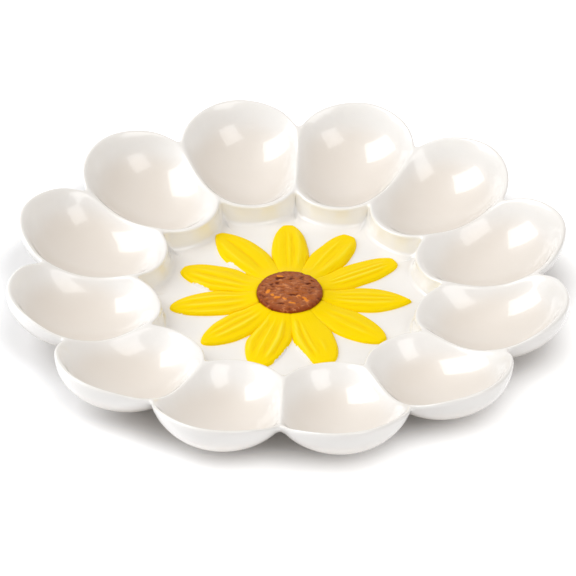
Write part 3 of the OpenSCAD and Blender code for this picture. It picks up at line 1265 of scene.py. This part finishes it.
@dataclass(frozen=True)
class IvoryGlaze:
    """Glossy off-white glaze, thin and white on edges, warm where it has run together, with painted shade
    deep in the cups and in corners.

    Under its clear, smooth skin the glaze is milky, which spreads a pale haze round each reflection.
    """

    thin: Colour = (0.93, 0.92, 0.905)
    # Warm, darker tone of pooled glaze, which also stands in as painted shade in the cups and corners
    pooled_and_shaded: Colour = (0.805, 0.735, 0.66)
    cloud_grain: Pair = (38.0, 3.0)
    cloud_swing: Pair = (-0.05, 0.05)
    speck: Colour = (0.78, 0.72, 0.64)
    speck_grain: Pair = (900.0, 1.0)
    speck_span: Pair = (0.74, 0.8)
    speck_share: float = 0.25
    wave_grain: Pair = (60.0, 1.0)
    ripple_grain: Pair = (420.0, 2.0)
    ripple_share: float = 0.08
    wave_height: float = 0.0006
    wave_strength: float = 0.5
    gloss: float = 0.01
    haze: float = 0.36
    haze_grain: Pair = (120.0, 3.0)
    haze_change: float = 0.03
    haze_level: float = 0.85

    def make(self) -> bpy.types.Material:
        """Lays out the material.

        Returns:
            The material.
        """
        bench = Bench(bpy.data.materials.new("ivory_glaze"))
        where = bench.place()
        cloud = bench.swing(bench.grain(where, *self.cloud_grain), self.cloud_swing)
        # The mesh's share mixes pooled glaze and painted shade into the warm, darker tone
        pool_and_shade = bench.sum(bench.noted("pool_and_shade"), cloud)
        tone = bench.mix(bench.span(pool_and_shade, 0.0, 1.0), self.thin, self.pooled_and_shaded)
        specks = bench.span(bench.grain(where, *self.speck_grain), *self.speck_span)
        tone = bench.mix(bench.times(specks, self.speck_share), tone, self.speck)
        ripples = bench.times(bench.grain(where, *self.ripple_grain), self.ripple_share)
        waves = bench.sum(bench.grain(where, *self.wave_grain), ripples)
        bench.bump(waves, self.wave_height, self.wave_strength)
        ends = (self.haze - self.haze_change, self.haze + self.haze_change)
        rough = bench.swing(bench.grain(where, *self.haze_grain), ends)
        return bench.finish(
            Base_Color=tone, Roughness=rough, IOR=GLAZE_IOR, Specular_IOR_Level=self.haze_level,
            Coat_Weight=1.0, Coat_Roughness=self.gloss, Coat_IOR=GLAZE_IOR,
        )


@dataclass(frozen=True)
class PetalPaint:
    """Yellow glaze paint, pale on the ribs and deep in the grooves, over white glaze."""

    body: Colour = (1.0, 0.72, 0.0015)
    stroke_shape: Place = (1.0, 0.09, 1.0)
    stroke_grain: Pair = (1.1, 4.0)
    stroke_swing: Pair = (-0.07, 0.07)
    pale: Colour = (1.0, 0.82, 0.045)
    pale_span: Pair = (0.02, 0.4)
    deep: Colour = (0.95, 0.61, 0.001)
    deep_span: Pair = (-0.02, -0.24)
    bare: Colour = (0.91, 0.895, 0.87)
    edge_grain: Pair = (650.0, 2.0)
    edge_swing: Pair = (-0.18, 0.18)
    edge_span: Pair = (-0.12, 0.12)
    edge_share: float = 0.5
    stroke_height: float = 0.00025
    stroke_strength: float = 0.6
    rough: Pair = (0.12, 0.22)
    sheen: float = 0.04

    def make(self) -> bpy.types.Material:
        """Lays out the material.

        Returns:
            The material.
        """
        bench = Bench(bpy.data.materials.new("petal_paint"))
        strokes = bench.grain(bench.place(self.stroke_shape, "UV"), *self.stroke_grain)
        rib = bench.sum(bench.noted("rib"), bench.swing(strokes, self.stroke_swing))
        tone = bench.mix(bench.span(rib, *self.pale_span), self.body, self.pale)
        tone = bench.mix(bench.span(rib, *self.deep_span), tone, self.deep)
        wander = bench.swing(bench.grain(bench.place(), *self.edge_grain), self.edge_swing)
        cover = bench.span(bench.sum(bench.noted("paint"), wander), *self.edge_span)
        tone = bench.mix(cover, self.bare, tone)
        waves = bench.sum(strokes, bench.times(cover, self.edge_share))
        bench.bump(waves, self.stroke_height, self.stroke_strength)
        rough = bench.swing(strokes, self.rough)
        return bench.finish(Base_Color=tone, Roughness=rough, IOR=GLAZE_IOR, Specular_IOR_Level=self.sheen)


@dataclass(frozen=True)
class SeedPaint:
    """Mottled brown glaze paint with orange threads and dark cracks."""

    body: Colour = (0.42, 0.115, 0.026)
    middle: Colour = (0.37, 0.12, 0.05)
    side: Colour = (0.29, 0.06, 0.012)
    blotch_shape: Place = (1.0, 1.6, 1.0)
    blotch_grain: Pair = (260.0, 4.0)
    blotch_span: Pair = (0.4, 0.65)
    blotch_swing: Pair = (-0.12, 0.12)
    crest: Colour = (0.74, 0.28, 0.1)
    crest_span: Pair = (0.02, 0.4)
    crack: Colour = (0.13, 0.025, 0.008)
    crack_span: Pair = (-0.08, -0.5)
    orange: Colour = (0.85, 0.27, 0.025)
    orange_span: Pair = (0.12, 0.5)
    fine_shape: Place = (1.0, 1.8, 1.0)
    fine_grain: Pair = (700.0, 3.0)
    fine_height: float = 0.0005
    fine_strength: float = 0.7
    rough: Pair = (0.16, 0.3)
    sheen: float = 0.1

    def make(self) -> bpy.types.Material:
        """Lays out the material.

        Returns:
            The material.
        """
        bench = Bench(bpy.data.materials.new("seed_paint"))
        blotch = bench.grain(bench.place(self.blotch_shape), *self.blotch_grain)
        tone = bench.mix(bench.span(blotch, *self.blotch_span), self.body, self.middle)
        tone = bench.mix(bench.span(bench.noted("rim"), 0.0, 1.0), tone, self.side)
        fold = bench.sum(bench.noted("fold"), bench.swing(blotch, self.blotch_swing))
        tone = bench.mix(bench.span(fold, *self.crest_span), tone, self.crest)
        tone = bench.mix(bench.span(fold, *self.crack_span), tone, self.crack)
        tone = bench.mix(bench.span(bench.noted("glow"), *self.orange_span), tone, self.orange)
        fine = bench.grain(bench.place(self.fine_shape), *self.fine_grain)
        bench.bump(bench.sum(fine, blotch), self.fine_height, self.fine_strength)
        rough = bench.swing(fine, self.rough)
        return bench.finish(Base_Color=tone, Roughness=rough, IOR=GLAZE_IOR, Specular_IOR_Level=self.sheen)


@dataclass(frozen=True)
class FootFinish:
    """Glaze on the foot's sides and bare, matt biscuit on the face that it stands on."""

    glaze: Colour = (0.9, 0.885, 0.86)
    glaze_line: Pair = (0.0006, 0.001)
    line_swing: Pair = (-0.00012, 0.00012)
    biscuit: Colour = (0.72, 0.62, 0.5)
    grit: Colour = (0.6, 0.49, 0.37)
    grit_grain: Pair = (1400.0, 3.0)
    grit_span: Pair = (0.35, 0.7)
    grit_height: float = 0.0002
    grit_strength: float = 0.35
    rough: Pair = (0.8, 0.07)

    def make(self) -> bpy.types.Material:
        """Lays out the material.

        Returns:
            The material.
        """
        bench = Bench(bpy.data.materials.new("foot_finish"))
        where = bench.place()
        height = bench.add("ShaderNodeSeparateXYZ", {"Vector": where}).outputs["Z"]
        grit = bench.grain(where, *self.grit_grain)
        line = bench.sum(height, bench.swing(grit, self.line_swing))
        glazed = bench.span(line, *self.glaze_line)
        clay = bench.mix(bench.span(grit, *self.grit_span), self.biscuit, self.grit)
        bench.bump(grit, self.grit_height, self.grit_strength)
        rough = bench.span(glazed, 0.0, 1.0, self.rough)
        return bench.finish(Base_Color=bench.mix(glazed, clay, self.glaze), Roughness=rough, IOR=GLAZE_IOR)


@dataclass(frozen=True)
class SoftBox:
    """Rectangular studio lamp that faces the platter; place and sizes are in metres."""

    name: str
    place: Place
    width: float
    height: float
    radiance: float
    tone: Colour = (1.0, 1.0, 1.0)

    def hang(self) -> None:
        """Puts the lamp in the scene."""
        lamp = bpy.data.lights.new(self.name, "AREA")
        lamp.shape = "RECTANGLE"
        lamp.color = self.tone
        lamp.size = self.width
        lamp.size_y = self.height
        lamp.energy = math.pi * self.width * self.height * self.radiance
        holder = bpy.data.objects.new(self.name, lamp)
        holder.location = self.place
        holder.rotation_euler = Vector(self.place).to_track_quat("Z", "Y").to_euler()
        bpy.context.scene.collection.objects.link(holder)


@dataclass
class Studio:
    """Camera, lamps, floor and the white round them.

    Lengths are in metres, and the white of the floor starts past the platter's shade,
    whose edge follows the lobes of the cups.
    """

    aim_z: float = 0.00301
    distance: float = 1.6679
    turn: float = math.radians(2.165)
    rise: float = math.radians(37.6)
    frame_px: int = 576
    focal_px: float = 3222.5
    middle_px: Pair = (289.70, 305.28)
    sensor_mm: float = 36.0
    clip: Pair = (0.05, 20.0)
    white: Colour = (1.0, 1.0, 1.0)
    floor_half: float = 4.0
    floor_tiles: int = 8
    floor_tone: Colour = (0.87, 0.88, 0.9)
    floor_rough: float = 0.6
    shade_middle: Place = (-0.008, 0.0155, 0.0)
    shade_squeeze: float = 1.106
    lobe_depth: float = 0.0035
    lobe_count: float = 12.0
    shade_ends: Pair = (0.136, 0.168)
    far_lift: float = 0.62
    fill: float = 0.465
    fill_tone: Colour = (1.0, 0.95, 0.89)
    lamps: tuple[SoftBox, ...] = (
        SoftBox("key_softbox", (-0.85, 0.03, 0.8), 0.72, 1.05, 3.7, (0.96, 0.98, 1.0)),
        SoftBox("fill_softbox", (0.614, -0.658, 1.0), 0.7, 0.95, 2.1),
    )

    def set_camera(self) -> None:
        """Puts the camera where the photographer's stood."""
        aim = Vector((0, 0, self.aim_z))
        level = math.cos(self.rise)
        way = Vector((math.sin(self.turn) * level, -math.cos(self.turn) * level, math.sin(self.rise)))
        lens = bpy.data.cameras.new("photo_camera")
        lens.sensor_width = self.sensor_mm
        lens.lens = self.focal_px / self.frame_px * self.sensor_mm
        lens.shift_x = (self.frame_px / 2 - self.middle_px[0]) / self.frame_px
        lens.shift_y = (self.middle_px[1] - self.frame_px / 2) / self.frame_px
        lens.clip_start, lens.clip_end = self.clip
        eye = bpy.data.objects.new("photo_camera", lens)
        eye.location = aim + way * self.distance
        eye.rotation_euler = (-way).to_track_quat("-Z", "Y").to_euler()
        bpy.context.scene.collection.objects.link(eye)
        bpy.context.scene.camera = eye

    def lay_floor(self) -> None:
        """Lays a pale floor that comes out white but keeps the platter's shadow."""
        bm = bmesh.new()
        tiles = self.floor_tiles
        bmesh.ops.create_grid(bm, x_segments=tiles, y_segments=tiles, size=self.floor_half)
        floor = finished_object("floor", bm)
        bench = Bench(bpy.data.materials.new("studio_floor"))
        middle = bench.place((1.0, self.shade_squeeze, 0.0))
        spread = {0: middle, 1: self.shade_middle}
        radius = bench.add("ShaderNodeVectorMath", spread, operation="DISTANCE").outputs["Value"]
        axes = bench.add("ShaderNodeSeparateXYZ", {"Vector": middle}).outputs
        turn = bench.times(bench.join("ARCTAN2", axes["Y"], axes["X"]), self.lobe_count)
        radius = bench.sum(bench.times(bench.join("COSINE", turn), self.lobe_depth), radius)
        lift = bench.span(radius, *self.shade_ends, (0.0, self.far_lift))
        floor.data.materials.append(bench.finish(
            Base_Color=self.floor_tone, Roughness=self.floor_rough, Specular_IOR_Level=0.0,
            Emission_Color=self.white, Emission_Strength=bench.times(bench.seen(), lift),
        ))

    def light_world(self) -> None:
        """Surrounds the platter with white that lights it only softly."""
        bench = Bench(bpy.data.worlds.new("studio"), "Background")
        soft = tuple(self.fill * share for share in self.fill_tone)
        bpy.context.scene.world = bench.finish(Color=bench.mix(bench.seen(), soft, self.white))

    def build(self) -> None:
        """Sets the whole studio up."""
        self.set_camera()
        self.lay_floor()
        self.light_world()
        for lamp in self.lamps:
            lamp.hang()
        bpy.context.scene.view_settings.view_transform = "Standard"


def dress(piece: bpy.types.Object, finish: bpy.types.Material, slot: str, *nodes: str) -> None:
    """Gives a piece its finish and puts it in the place of the nodes that it stands for.

    Args:
        piece: The piece.
        finish: Its material.
        slot: Material slot of the record that it takes its finish from. It is not used.
        nodes: Names of the nodes that it replaces.
    """
    piece.data.materials.append(finish)
    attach(piece, "root")
    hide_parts(*nodes)
    log.info("%s: %d faces, in the place of %d nodes", piece.name, len(piece.data.polygons), len(nodes))


def main() -> None:
    """Builds the platter and the studio."""
    logging.basicConfig(level=logging.INFO, format="%(message)s")
    form = CastingForm()
    glaze = IvoryGlaze().make()
    cups = [f"egg_cup_{i:02d}" for i in range(1, form.cup_count + 1)]
    dress(Casting(form).build(), glaze, "ivory_glaze", "centre_dish", *cups)
    dress(Foot().build(), FootFinish().make(), "ivory_glaze", "foot_ring")
    dress(SeedHead(form.floor_z).build(), SeedPaint().make(), "brown_glaze", "seed_head")
    yellow = PetalPaint().make()
    flower = Sunflower(form.floor_z)
    for index in range(len(PETALS)):
        dress(flower.build(index), yellow, "yellow_glaze", f"petal_{index + 1:02d}")
    Studio().build()


if __name__ == "__main__":
    main()
